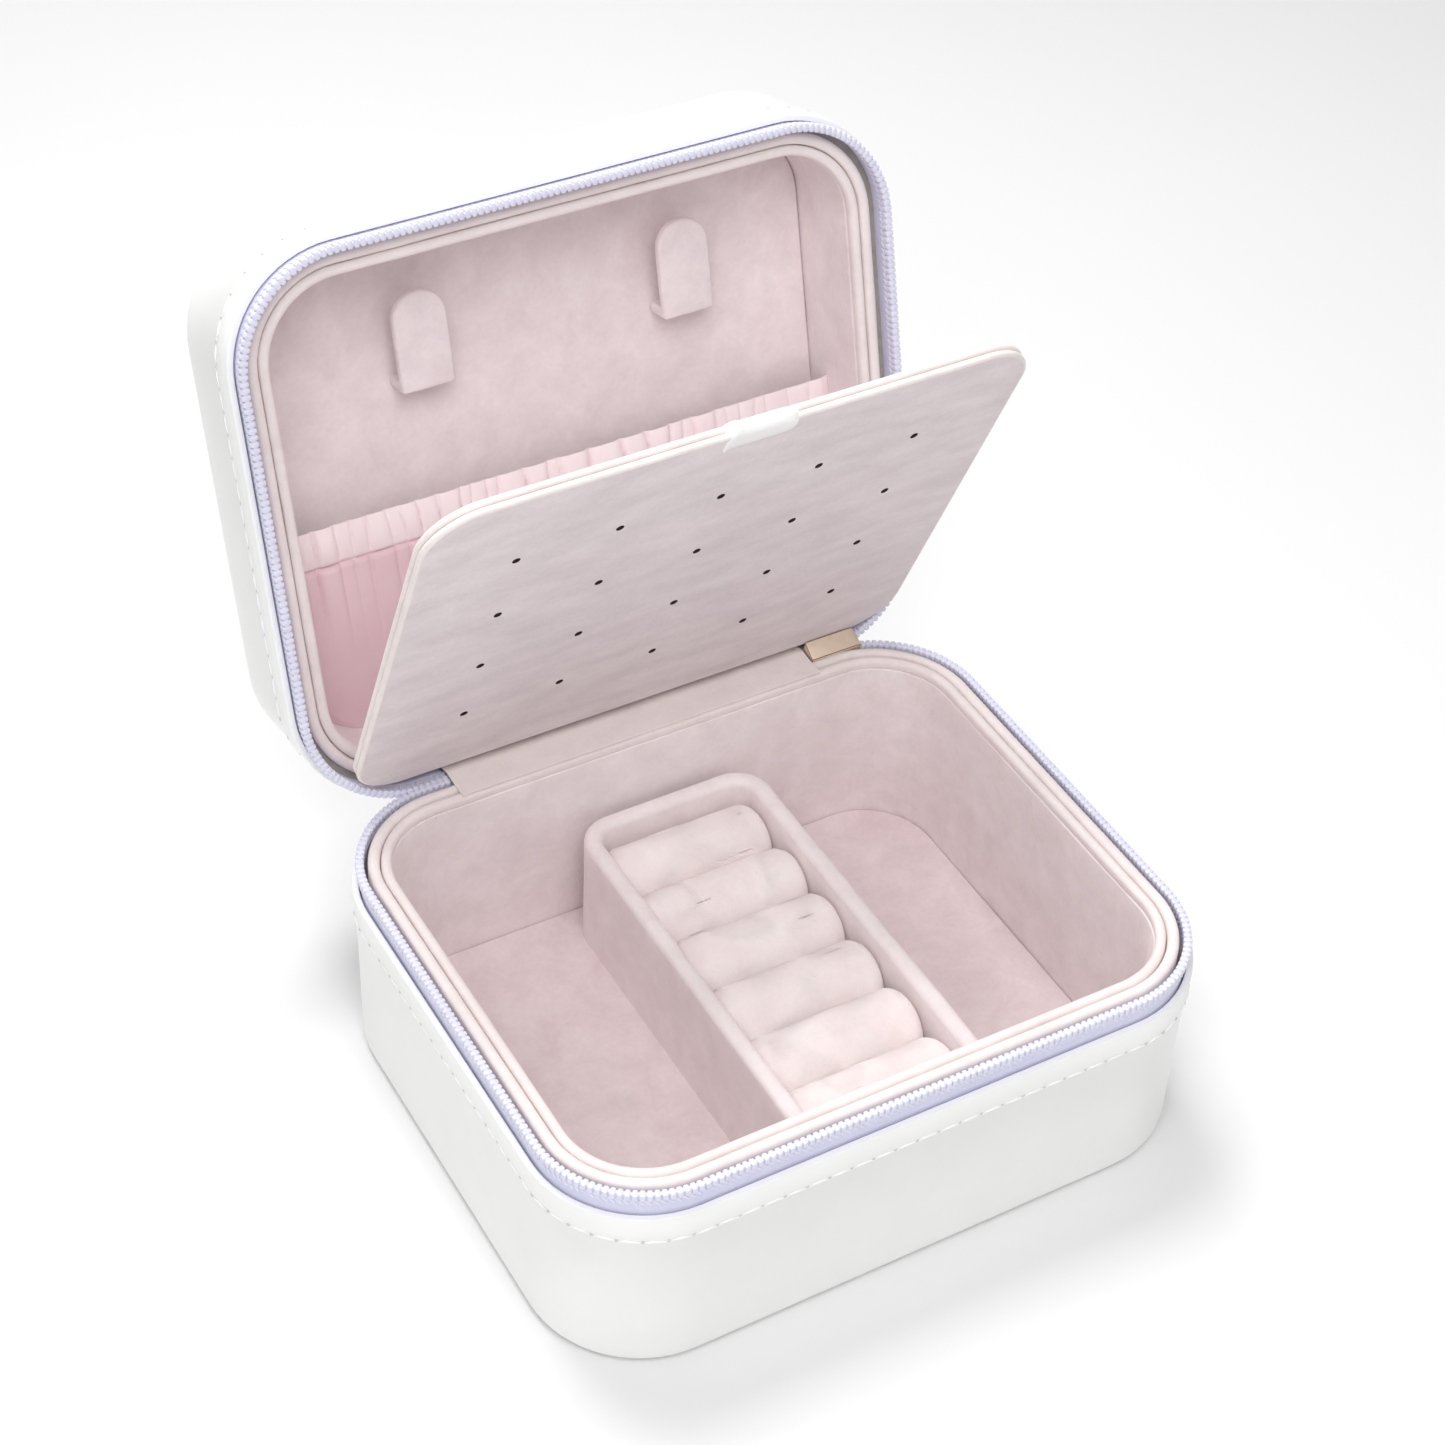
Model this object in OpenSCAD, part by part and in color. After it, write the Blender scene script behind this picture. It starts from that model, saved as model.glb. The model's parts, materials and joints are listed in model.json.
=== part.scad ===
// Travel jewelry case: a zipped two-part box, modelled with its lid open.
// +X runs along the hinge, +Y towards the hinge and +Z up. The origin is the
// centre of the underside. The lid and the earring board are drawn closed, then
// turned to their open places about their own hinge lines.

/* [Case] */
// Outside width, along the hinge
case_w = 160; // [140:1:200]
// Outside depth, front to hinge
case_d = 133; // [110:1:165]
// Corner radius in plan
corner_r = 26.5; // [22:0.5:31.5]
// Height of the base's leather wall
base_h = 48.3; // [42:0.1:60]
// Height of the lid's leather wall
lid_h = 28.4; // [26:0.1:38]
// Rounding of the underside's and the lid top's edge
edge_r = 3; // [2:0.1:3.6]

/* [Walls] */
// Artificial leather
leather_t = 1.2; // [0.8:0.1:1.6]
// Grey board inside the leather
card_t = 2; // [1.5:0.1:2.4]
// Padded velvet floor of the base
floor_pad_t = 2.6; // [1.5:0.1:4]
// Velvet panel inside the lid's top
lid_panel_t = 1.4; // [1:0.1:2]
// Outer velvet band of each rim
lip_t = 2.9; // [2.6:0.1:3.5]
// Padded velvet wall inside that band
lining_t = 2.6; // [2:0.1:3.5]
// How far each rim band reaches down behind the leather's edge
lip_root = 1.5; // [1:0.1:4]

/* [Zip] */
// Base's half of the closed zip, from its leather's edge to the parting line
base_zip = 6.2; // [5:0.1:7]
// Lid's half of the closed zip
lid_zip = 4.8; // [4:0.1:6]
// Height of one coil
coil_h = 3.4; // [2.5:0.1:3.8]
// Thickness of one coil
coil_t = 2; // [1.5:0.1:2.4]
// Woven tape
tape_t = 0.5; // [0.4:0.05:0.6]
// Tape hidden behind the leather
tape_root = 8; // [5:0.5:12]
// Free space between the base's coil and its rim
base_lip_clear = 0.65; // [0.4:0.05:1]
// Free space between the lid's coil and its rim
lid_lip_clear = 1.05; // [0.6:0.05:1.5]

/* [Hinge] */
// Angle that the lid is open
open_angle = 104.4; // [95:0.1:106]
// Hinge line in front of the case's back face
hinge_in = 1.7; // [1.4:0.05:1.9]
// Hinge line below the parting line
hinge_drop = 0.5; // [0.3:0.05:0.7]
// Width of the cloth and leather hinge
hinge_w = 94.6; // [70:0.2:98]
// Cloth of the hinge
cloth_t = 0.6; // [0.4:0.05:0.7]
// Height of each leather flap beyond its wall
flap_h = 2.8; // [2:0.1:3]
// Clear radius round the hinge line that the zip keeps
relief_r = 2.2; // [2:0.1:2.5]

/* [Earring board] */
// Thickness of both layers
board_t = 3.4; // [2.8:0.1:4]
// Free space above and below the board in the closed case
board_clear = 0.45; // [0.35:0.05:0.8]
// Gap from the case's side to the board's
board_side_gap = 9.3; // [9.1:0.1:12]
// Gap from the case's front to the board's front edge
board_front_gap = 6.1; // [5:0.1:7]
// Board's back edge in front of the hinge line
board_set_in = 4.8; // [4.4:0.1:6]
// Corner radius
board_r = 13; // [11:0.5:16]
// Angle between the open board and the lid
board_lean = 38; // [20:1:39]
// Radius of an earring hole
pin_r = 0.9; // [0.6:0.1:1.2]
// Side margin of the rows of holes
pin_margin_x = 23.5; // [15:0.5:30]
// Margin between the back edge and the first row
pin_margin_back = 27; // [20:0.5:32]
// Margin between the front edge and the last row
pin_margin_front = 25; // [20:0.5:32]
// Width of the pull tab
tab_w = 17; // [10:0.5:25]
// Sideways place of the pull tab
tab_x = 4; // [-20:0.5:20]
// Reach of the pull tab over each face
tab_l = 5; // [3:0.5:8]
// Leather of the pull tab
tab_t = 0.4; // [0.3:0.05:0.5]

/* [Ring tray] */
// Outside width
tray_w = 49; // [40:0.5:56]
// Sideways place of its middle
tray_x = 3; // [-8:0.5:8]
// Gap to the rim's wall at each end
tray_gap = 2.9; // [1:0.1:6]
// Height above the floor
tray_h = 31.2; // [26:0.1:34]
// Padded wall
tray_wall = 4.5; // [3:0.1:6]
// Corner radius
tray_r = 9; // [7:0.5:12]
// Floor of the tray
tray_floor = 2.5; // [2:0.1:4]
// Tops of the rolls below the tray's edge
roll_drop = 3.5; // [2:0.1:5]
// Gap between a roll and its neighbour, its groove or a wall
roll_gap = 0.1; // [0.05:0.01:0.2]

/* [Lid fittings] */
// Width of a necklace hook
hook_w = 13; // [10:0.5:16]
// Length of a hook
hook_l = 23; // [16:0.5:25]
// Thickness of a hook
hook_t = 2.4; // [1.6:0.1:3]
// Space behind a hook
hook_gap = 5.4; // [4.5:0.1:7]
// Distance between the hooks' middles
hook_pitch = 66; // [40:1:80]
// Sideways place of the pair's middle
hook_x = 3; // [-8:0.5:8]
// Gap between the hooks' free ends and the lid's front lining
hook_front_gap = 14.2; // [8:0.2:18]
// Height of the pocket
pocket_h = 52.8; // [40:0.2:54]
// Height of its elastic band
elastic_h = 9.5; // [6:0.5:14]
// Space behind the pocket
pocket_gap = 7; // [5:0.1:9]
// Cloth of the pocket
pocket_t = 1; // [0.6:0.1:1.6]
// Elastic band
elastic_t = 1.8; // [1.2:0.1:2.4]

/* [Slider] */
// Length of the slider
slider_l = 14; // [10:0.5:16]
// Thickness of each of its plates
slider_plate = 1; // [0.8:0.05:1.2]
// Gap between the hinge and the slider
slider_gap = 0.3; // [0.2:0.1:1]
// Length of the pull
pull_l = 24; // [16:0.5:30]
// Width of the pull
pull_w = 5; // [4:0.5:7]
// Thickness of the pull
pull_t = 0.8; // [0.6:0.05:0.9]
// Radius of the stud that the pull hangs on
stud_r = 1.2; // [1:0.1:1.4]
// Radial play of the pull on its stud
stud_play = 0.08; // [0.05:0.01:0.1]

/* [Hidden] */
ROLLS = 6;
PIN_COLUMNS = 5;
PIN_ROWS = 4;
$fn = 64;
far = 400;
eps = 0.01;

// Insets from the case's outside face
coil_in = leather_t + tape_t / 2 - coil_t / 2;
card_in = leather_t + tape_t;
foam_in = card_in + card_t;
base_lip_in = coil_in + coil_t + base_lip_clear;
base_lining_in = base_lip_in + lip_t;
base_room_in = base_lining_in + lining_t;
lid_lip_in = coil_in + coil_t + lid_lip_clear;
lid_lining_in = lid_lip_in + lip_t;
lid_room_in = lid_lining_in + lining_t;
panel_in = edge_r + 0.1;

// Heights in the closed case
card_top = leather_t + card_t;
floor_top = card_top + floor_pad_t;
part_z = base_h + base_zip;
lid_z0 = part_z + lid_zip;
lid_z1 = lid_z0 + lid_h;
lid_card_z = lid_z1 - leather_t - card_t;
lid_room_z = lid_card_z - lid_panel_t;
board_z0 = part_z + board_clear;
board_z1 = board_z0 + board_t;
lid_lip_z = board_z1 + board_clear;
lid_root_z = max(lid_z0, lid_lip_z) + lip_root;

// Hinge lines and the pieces on them
back_y = case_d / 2;
hinge_y = back_y - hinge_in;
hinge_z = part_z - hinge_drop;
board_w = case_w - 2 * board_side_gap;
board_y1 = hinge_y - board_set_in;
board_y0 = -back_y + board_front_gap;
board_pivot_z = board_z1 - 0.3;
web_y = back_y - lid_lip_in;

// Ring tray
tray_d = case_d - 2 * (base_room_in + tray_gap);
tray_z1 = floor_top + tray_h;
tray_z0 = floor_top + tray_floor;
roll_pitch = (tray_d - 2 * tray_wall) / ROLLS;
roll_r = roll_pitch / 2 - roll_gap;
roll_l = tray_w - 2 * (tray_wall + roll_gap);
roll_end_r = tray_r - tray_wall;
roll_z = tray_z1 - roll_drop - roll_r;
saddle_z = roll_z - 0.6 * roll_r;

// Slider
slider_x0 = hinge_w / 2 + slider_gap;
slider_z0 = base_h + 0.5;
slider_z1 = part_z + 0.8;
slider_in_y = back_y - coil_in - coil_t - 0.15;
slider_out_y = back_y - coil_in + 0.25;
stud_x = slider_x0 + slider_l / 2;
stud_z = (slider_z0 + slider_z1) / 2 - 0.4;
stud_y = slider_out_y + slider_plate;
pull_y = stud_y + 0.2;

WHITE = "#F3F3F2";
LILAC = "#DCDCF3";
VELVET = "#E3D0D3";
PILE = "#EFE0E0";
SATIN = "#D8BCC1";
BOARD = "#B9B2A8";
FOAM = "#E9E6DC";
BRASS = "#C4AE93";

// Rounded rectangle of the case's outline, taken in by inset
module case_outline(inset) {
    rounded_rect(case_w - 2 * inset, case_d - 2 * inset, corner_r - inset);
}

module rounded_rect(w, d, r) {
    square([w - 2 * r, d], center = true);
    square([w, d - 2 * r], center = true);
    for (x = [-1, 1], y = [-1, 1])
        translate([x * (w / 2 - r), y * (d / 2 - r)]) circle(r);
}

// Wall that follows the case's outline between two insets and two heights
module case_wall(inset0, inset1, z0, z1) {
    translate([0, 0, z0]) linear_extrude(z1 - z0) difference() {
        case_outline(inset0);
        case_outline(inset1);
    }
}

module case_slab(inset, z0, z1) {
    translate([0, 0, z0]) linear_extrude(z1 - z0) case_outline(inset);
}

// Solid rim of the underside, edge_r high, with its lower edge rounded
module rounded_rim(inset) {
    r = edge_r - inset;
    hull() {
        for (x = [-1, 1], y = [-1, 1])
            translate([x * (case_w / 2 - corner_r), y * (case_d / 2 - corner_r), edge_r])
                rotate_extrude() difference() {
                    translate([corner_r - edge_r, 0]) circle(r, $fn = 32);
                    translate([0, -far]) square([corner_r - edge_r, 2 * far]);
                    square([far, far]);
                }
    }
}

// Leather tray, edge_r high, that closes one end of the case
module end_panel() {
    difference() {
        rounded_rim(0);
        translate([0, 0, eps]) rounded_rim(leather_t);
    }
}

// Box across the back of the case, between two heights
module back_zone(x0, x1, y0, z0, z1) {
    translate([x0, y0, z0]) cube([x1 - x0, far, z1 - z0]);
}

module hinge_zone(z0, z1) {
    back_zone(-hinge_w / 2, hinge_w / 2, hinge_y - far / 8, z0, z1);
}

// The zip is left out from the hinge's end to the slider's far end
module slider_zone(z0, z1) {
    back_zone(hinge_w / 2 - 1, slider_x0 + slider_l, hinge_y - lip_t, z0, z1);
}

module hinge_relief() {
    translate([0, hinge_y, hinge_z]) rotate([0, 90, 0])
        cylinder(r = relief_r, h = far, center = true);
}

// Turns a closed lid piece to its open place
module open_lid() {
    translate([0, hinge_y, hinge_z]) rotate([-open_angle, 0, 0])
        translate([0, -hinge_y, -hinge_z]) children();
}

// Turns a closed board piece to its open place
module open_board() {
    open_lid() translate([0, board_y1, board_pivot_z]) rotate([board_lean, 0, 0])
        translate([0, -board_y1, -board_pivot_z]) children();
}

// ---- Base ----

module base_cover_wall() {
    color(WHITE) case_wall(0, leather_t, edge_r, base_h);
}

module base_bottom_panel() {
    color(WHITE) end_panel();
}

module base_card_wall() {
    color(BOARD) case_wall(card_in, foam_in, max(edge_r, card_top), base_h - lip_root);
}

module base_card_floor() {
    color(BOARD) case_slab(panel_in, leather_t + eps, card_top);
}

module base_foam_wall() {
    color(FOAM) case_wall(foam_in, base_lining_in, card_top, base_h - lip_root);
}

module base_zip_tape() {
    color(LILAC) difference() {
        case_wall(leather_t, card_in, base_h - tape_root, part_z - coil_h);
        hinge_zone(base_h, part_z);
        slider_zone(slider_z0, part_z);
    }
}

module base_zip_coil() {
    color(LILAC) difference() {
        case_wall(coil_in, coil_in + coil_t, part_z - coil_h, part_z);
        hinge_zone(base_h, part_z + 1);
        slider_zone(base_h, part_z + 1);
        hinge_relief();
    }
}

module base_lip() {
    color(VELVET) difference() {
        case_wall(base_lip_in, base_lining_in, base_h - lip_root, part_z);
        cloth_recess();
        back_zone(slider_x0 - 0.2, slider_x0 + slider_l + 0.2, slider_in_y - slider_plate - 0.2,
                  slider_z0 - 0.3, part_z + 1);
    }
}

module base_lining_wall() {
    color(VELVET) difference() {
        case_wall(base_lining_in, base_room_in, card_top, part_z);
        cloth_recess();
    }
}

// Shallow recess that the hinge cloth is glued into, along the back rim
module cloth_recess() {
    translate([-hinge_w / 2, 0, part_z - cloth_t]) cube([hinge_w, far, 2 * cloth_t]);
}

module base_floor_pad() {
    color(VELVET) case_slab(base_room_in, card_top, floor_top);
}

module spine_base() {
    color(WHITE) translate([-hinge_w / 2, back_y - leather_t, base_h])
        cube([hinge_w, leather_t, flap_h]);
}

module hinge_cloth_base() {
    color(VELVET) translate([-hinge_w / 2, back_y - base_room_in, part_z - cloth_t])
        cube([hinge_w, base_room_in - base_lip_in, cloth_t]);
}

// ---- Ring tray ----

module ring_tray() {
    color(VELVET) translate([tray_x, 0, floor_top]) difference() {
        linear_extrude(tray_h) rounded_rect(tray_w, tray_d, tray_r);
        translate([0, 0, tray_floor]) linear_extrude(tray_h)
            rounded_rect(tray_w - 2 * tray_wall, tray_d - 2 * tray_wall, tray_r - tray_wall);
    }
}

module at_roll(i) {
    translate([tray_x, (i - (ROLLS + 1) / 2) * roll_pitch, roll_z]) rotate([0, 90, 0]) children();
}

module ring_foam_base() {
    color(PILE) difference() {
        translate([tray_x, 0, tray_z0]) linear_extrude(saddle_z - tray_z0)
            rounded_rect(tray_w - 2 * tray_wall, tray_d - 2 * tray_wall, tray_r - tray_wall);
        for (i = [1:ROLLS]) at_roll(i)
            cylinder(r = roll_r + roll_gap / 2, h = tray_w, center = true);
    }
}

// Foam roll with rounded ends, which keep clear of the tray's round corners
module ring_roll(i) {
    color(PILE) at_roll(i) rotate_extrude() intersection() {
        rounded_rect(2 * roll_r, roll_l, roll_end_r);
        translate([0, -far]) square([far, 2 * far]);
    }
}

// ---- Slider and pull ----

module slider_outline() {
    translate([slider_x0 + slider_l / 2, (slider_z0 + slider_z1) / 2])
        rounded_rect(slider_l, slider_z1 - slider_z0, 2);
}

module upright_plate(y, t) {
    translate([0, y + t, 0]) rotate([90, 0, 0]) linear_extrude(t) children();
}

module zip_slider() {
    stud_l = pull_t + 0.35;
    color(BRASS) {
        upright_plate(slider_in_y - slider_plate, slider_plate) slider_outline();
        upright_plate(slider_out_y, slider_plate) slider_outline();
        upright_plate(slider_in_y, slider_out_y - slider_in_y) translate([stud_x, slider_z0])
            translate([-2.5, 0]) square([5, slider_z1 - slider_z0]);
        translate([stud_x, stud_y, stud_z]) rotate([-90, 0, 0]) cylinder(r = stud_r, h = stud_l);
        translate([stud_x, stud_y + stud_l, stud_z]) rotate([-90, 0, 0])
            cylinder(r = stud_r + 0.7, h = 0.45);
    }
}

module zip_pull() {
    color(BRASS) upright_plate(pull_y, pull_t) translate([stud_x, stud_z]) difference() {
        union() {
            circle(pull_w / 2);
            translate([-pull_w / 2, -pull_l]) square([pull_w, pull_l]);
            translate([0, -pull_l]) circle(pull_w / 2);
        }
        circle(stud_r + stud_play);
    }
}

// ---- Lid ----

module lid_cover_wall() {
    color(WHITE) open_lid() case_wall(0, leather_t, lid_z0, lid_z1 - edge_r);
}

module lid_top_panel() {
    color(WHITE) open_lid() translate([0, 0, lid_z1]) mirror([0, 0, 1]) end_panel();
}

module lid_card_wall() {
    color(BOARD) open_lid()
        case_wall(card_in, foam_in, lid_root_z, min(lid_z1 - edge_r, lid_card_z));
}

module lid_card_top() {
    color(BOARD) open_lid() case_slab(panel_in, lid_card_z, lid_z1 - leather_t - eps);
}

module lid_foam_wall() {
    color(FOAM) open_lid() case_wall(foam_in, lid_lining_in, lid_root_z, lid_card_z);
}

module lid_zip_tape() {
    color(LILAC) open_lid() difference() {
        case_wall(leather_t, card_in, part_z + coil_h, lid_z0 + tape_root);
        hinge_zone(part_z, lid_z0);
        slider_zone(part_z, lid_z0);
    }
}

module lid_zip_coil() {
    color(LILAC) open_lid() difference() {
        case_wall(coil_in, coil_in + coil_t, part_z, part_z + coil_h);
        hinge_zone(part_z - 1, lid_z0);
        slider_zone(part_z - 1, lid_z0);
        hinge_relief();
    }
}

module lid_lip() {
    color(VELVET) open_lid() case_wall(lid_lip_in, lid_lining_in, lid_lip_z, lid_root_z);
}

module lid_lining_wall() {
    color(VELVET) open_lid() case_wall(lid_lining_in, lid_room_in, lid_lip_z, lid_card_z);
}

module lid_back_panel() {
    color(VELVET) open_lid() case_slab(lid_room_in, lid_room_z, lid_card_z);
}

// One hook: a tab with a round free end, standing on a root at its other end
module necklace_hook(x) {
    y1 = -back_y + lid_room_in + hook_front_gap + hook_l;
    z0 = lid_room_z - hook_gap - hook_t;
    color(VELVET) open_lid() translate([hook_x + x, y1, z0]) {
        linear_extrude(hook_t) {
            translate([0, hook_w / 2 - hook_l]) circle(hook_w / 2);
            translate([-hook_w / 2, hook_w / 2 - hook_l]) square([hook_w, hook_l - hook_w / 2]);
        }
        translate([-hook_w / 2, -hook_t, 0]) cube([hook_w, hook_t, hook_t + hook_gap]);
    }
}

// Cloth across the lid's back, cut to its round corners, between two distances from the lining
module pocket_sheet(from_back, to_back, t) {
    y1 = back_y - lid_room_in;
    open_lid() translate([0, 0, lid_room_z - pocket_gap - t]) linear_extrude(t)
        intersection() {
            case_outline(lid_room_in);
            translate([-far / 2, y1 - to_back]) square([far, to_back - from_back]);
        }
}

module pocket_panel() {
    color(SATIN) pocket_sheet(0, pocket_h - elastic_h, pocket_t);
}

module pocket_elastic() {
    color(SATIN) pocket_sheet(pocket_h - elastic_h, pocket_h, elastic_t);
}

module spine_lid() {
    color(WHITE) open_lid() translate([-hinge_w / 2, back_y - leather_t, lid_z0 - flap_h + 0.2])
        cube([hinge_w, leather_t, flap_h - 0.2]);
}

module hinge_cloth_lid() {
    color(VELVET) open_lid() translate([-hinge_w / 2, web_y, part_z + 0.3])
        cube([hinge_w, cloth_t, lid_lip_z + lip_root - part_z - 0.3]);
}

// ---- Earring board ----

module board_outline() {
    translate([0, (board_y0 + board_y1) / 2])
        rounded_rect(board_w, board_y1 - board_y0, board_r);
}

module pin_holes() {
    step_x = (board_w - 2 * pin_margin_x) / (PIN_COLUMNS - 1);
    step_y = (board_y1 - board_y0 - pin_margin_back - pin_margin_front) / (PIN_ROWS - 1);
    for (i = [0:PIN_COLUMNS - 1], j = [0:PIN_ROWS - 1])
        translate([-board_w / 2 + pin_margin_x + i * step_x,
                   board_y1 - pin_margin_back - j * step_y, board_z0 - 1])
            cylinder(r = pin_r, h = board_t + 2);
}

// The tab's leather folded over the board's front edge; its inside is the board itself
module tab_wrap() {
    translate([tab_x - tab_w / 2, board_y0 - 2 * tab_t, board_z0])
        cube([tab_w, tab_l + 2 * tab_t, board_t]);
}

module tab_core() {
    translate([tab_x - tab_w / 2 - 1, board_y0, board_z0 + tab_t])
        cube([tab_w + 2, tab_l + 2, board_t - 2 * tab_t]);
}

module board_layer(z0, z1) {
    color(VELVET) open_board() difference() {
        translate([0, 0, z0]) linear_extrude(z1 - z0) board_outline();
        pin_holes();
        difference() {
            tab_wrap();
            tab_core();
        }
    }
}

module board_front() {
    board_layer(board_z0, board_z0 + board_t / 2);
}

module board_back() {
    board_layer(board_z0 + board_t / 2, board_z1);
}

module board_tab() {
    color(WHITE) open_board() difference() {
        tab_wrap();
        tab_core();
    }
}

base_cover_wall();
base_bottom_panel();
base_card_wall();
base_card_floor();
base_foam_wall();
base_zip_tape();
base_zip_coil();
base_lip();
base_lining_wall();
base_floor_pad();
spine_base();
hinge_cloth_base();
ring_tray();
ring_foam_base();
for (i = [1:ROLLS]) ring_roll(i);
zip_slider();
zip_pull();
lid_cover_wall();
lid_top_panel();
lid_card_wall();
lid_card_top();
lid_foam_wall();
lid_zip_tape();
lid_zip_coil();
lid_lip();
lid_lining_wall();
lid_back_panel();
necklace_hook(-hook_pitch / 2);  // necklace_hook_left
necklace_hook(hook_pitch / 2);  // necklace_hook_right
pocket_panel();
pocket_elastic();
spine_lid();
hinge_cloth_lid();
board_front();
board_back();
board_tab();
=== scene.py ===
import json
import math
import random

import bpy
from mathutils import Matrix, Quaternion, Vector


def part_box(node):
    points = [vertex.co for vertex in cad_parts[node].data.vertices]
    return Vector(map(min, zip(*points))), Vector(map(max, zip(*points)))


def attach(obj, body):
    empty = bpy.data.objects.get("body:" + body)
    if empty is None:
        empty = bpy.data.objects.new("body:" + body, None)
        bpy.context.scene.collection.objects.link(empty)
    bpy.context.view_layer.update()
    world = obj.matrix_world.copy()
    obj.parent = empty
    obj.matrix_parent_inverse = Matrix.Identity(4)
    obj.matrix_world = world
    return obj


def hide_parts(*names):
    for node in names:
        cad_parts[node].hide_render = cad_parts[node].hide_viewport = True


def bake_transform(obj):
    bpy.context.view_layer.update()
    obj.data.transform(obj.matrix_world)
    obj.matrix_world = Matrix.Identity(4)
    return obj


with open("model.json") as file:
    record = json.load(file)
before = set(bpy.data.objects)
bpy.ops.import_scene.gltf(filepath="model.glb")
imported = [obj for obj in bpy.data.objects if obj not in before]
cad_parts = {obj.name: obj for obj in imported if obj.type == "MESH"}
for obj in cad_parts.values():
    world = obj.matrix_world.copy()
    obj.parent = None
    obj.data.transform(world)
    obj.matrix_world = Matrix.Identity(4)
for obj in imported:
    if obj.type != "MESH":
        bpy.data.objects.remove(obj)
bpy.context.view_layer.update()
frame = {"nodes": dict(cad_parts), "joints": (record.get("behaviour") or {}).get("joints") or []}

MM = 0.001

# ---- Camera, floor and light ----
# The open case stands on a pale painted studio floor. Of its four soft lights, one hangs above
# and a little behind it and one above its front, and two low ones, at its left and in front,
# keep its white sides bright.

VIEW_AZIMUTH, VIEW_ELEVATION, VIEW_ROLL = (math.radians(a) for a in (-31.144, 41.667, 2.707))
VIEW_DISTANCE = 656.6 * MM
VIEW_TARGET = Vector((-0.61, 23.05, 86.05)) * MM
LENS_MM, SENSOR_MM = 74.89, 36
FLOOR_SIZE = 6
STUDIO_GLOW = 0.38
# Each soft light's place, the place it is aimed at, its width in metres and its power in watts
SOFTBOXES = (((-0.02, 0.38, 0.95), (0, 0, 0.03), 0.40, 6.2),
             ((-0.25, -0.45, 0.95), (0, 0, 0.03), 0.60, 5.3),
             ((-1.10, -0.30, 0.30), (0, 0, 0.05), 0.50, 1.3),
             ((0.25, -1.15, 0.30), (0, 0, 0.05), 0.50, 1.0))


def colour(code):
    """An sRGB hex colour as the linear RGBA that a shader takes."""
    parts = [int(code[i:i + 2], 16) / 255 for i in (1, 3, 5)]
    return [c / 12.92 if c <= 0.04045 else ((c + 0.055) / 1.055) ** 2.4 for c in parts] + [1.0]


def node(material, kind, inputs=None, **settings):
    """Add a node. An input that is another node's socket is linked, and any other is set."""
    made = material.node_tree.nodes.new(kind)
    for key, value in settings.items():
        setattr(made, key, value)
    for key, value in (inputs or {}).items():
        if isinstance(value, bpy.types.NodeSocket):
            material.node_tree.links.new(value, made.inputs[key])
        else:
            made.inputs[key].default_value = value
    return made


def new_material(name):
    material = bpy.data.materials.new(name)
    material.use_nodes = True
    material.node_tree.nodes.clear()
    return material


def shaded(material, **inputs):
    """End a material in a Principled shader, whose inputs are given with _ for a space."""
    inputs = {key.replace("_", " "): value for key, value in inputs.items()}
    shader = node(material, "ShaderNodeBsdfPrincipled", inputs)
    node(material, "ShaderNodeOutputMaterial", {"Surface": shader.outputs["BSDF"]})
    return material


def mottled(name, tone, shade, scale, detail=2.0, **finish):
    """A stuff whose colour drifts between two tones, over patches 1 / scale metres across."""
    material = new_material(name)
    place = node(material, "ShaderNodeTexCoord")
    drift = node(material, "ShaderNodeTexNoise",
                 {"Vector": place.outputs["Object"], "Scale": scale, "Detail": detail})
    hue = node(material, "ShaderNodeMix",
               {0: drift.outputs["Fac"], 6: colour(shade), 7: colour(tone)}, data_type="RGBA")
    return shaded(material, Base_Color=hue.outputs[2], **finish)


back = Vector((math.sin(VIEW_AZIMUTH) * math.cos(VIEW_ELEVATION),
               -math.cos(VIEW_AZIMUTH) * math.cos(VIEW_ELEVATION), math.sin(VIEW_ELEVATION)))
bpy.ops.object.camera_add(location=VIEW_TARGET + back * VIEW_DISTANCE)
camera = bpy.context.object
camera.rotation_mode = "QUATERNION"
camera.rotation_quaternion = (-back).to_track_quat("-Z", "Y") @ Quaternion((0, 0, 1), VIEW_ROLL)
camera.data.lens = LENS_MM
camera.data.sensor_width = SENSOR_MM
bpy.context.scene.camera = camera

# Matte painted board: nearly white, with the faintest mottle of a roller
sweep_paint = mottled("matte_sweep_paint", "#EDEDED", "#EAEAEA", 6.0, Roughness=0.9,
                      Specular_IOR_Level=0.1)

bpy.ops.mesh.primitive_plane_add(size=FLOOR_SIZE)
floor = bpy.context.object
floor.name = "floor"
floor.data.materials.append(sweep_paint)

for place, aim, width, power in SOFTBOXES:
    bpy.ops.object.light_add(type="AREA", location=place)
    light = bpy.context.object
    light.data.size = width
    light.data.energy = power
    light.rotation_mode = "QUATERNION"
    light.rotation_quaternion = (Vector(aim) - Vector(place)).to_track_quat("-Z", "Y")

world = bpy.data.worlds.new("pale_studio")
bpy.context.scene.world = world
world.use_nodes = True
glow = world.node_tree.nodes["Background"]
glow.inputs["Color"].default_value = colour("#FFFFFF")
glow.inputs["Strength"].default_value = STUDIO_GLOW
bpy.context.scene.view_settings.view_transform = "Standard"


# ---- Leather covers ----
# Two shallow boxes of white artificial leather, glued over stiff board. The leather's open
# edge is turned in, so that a band along it stands a little proud, and it is sewn down.

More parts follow.
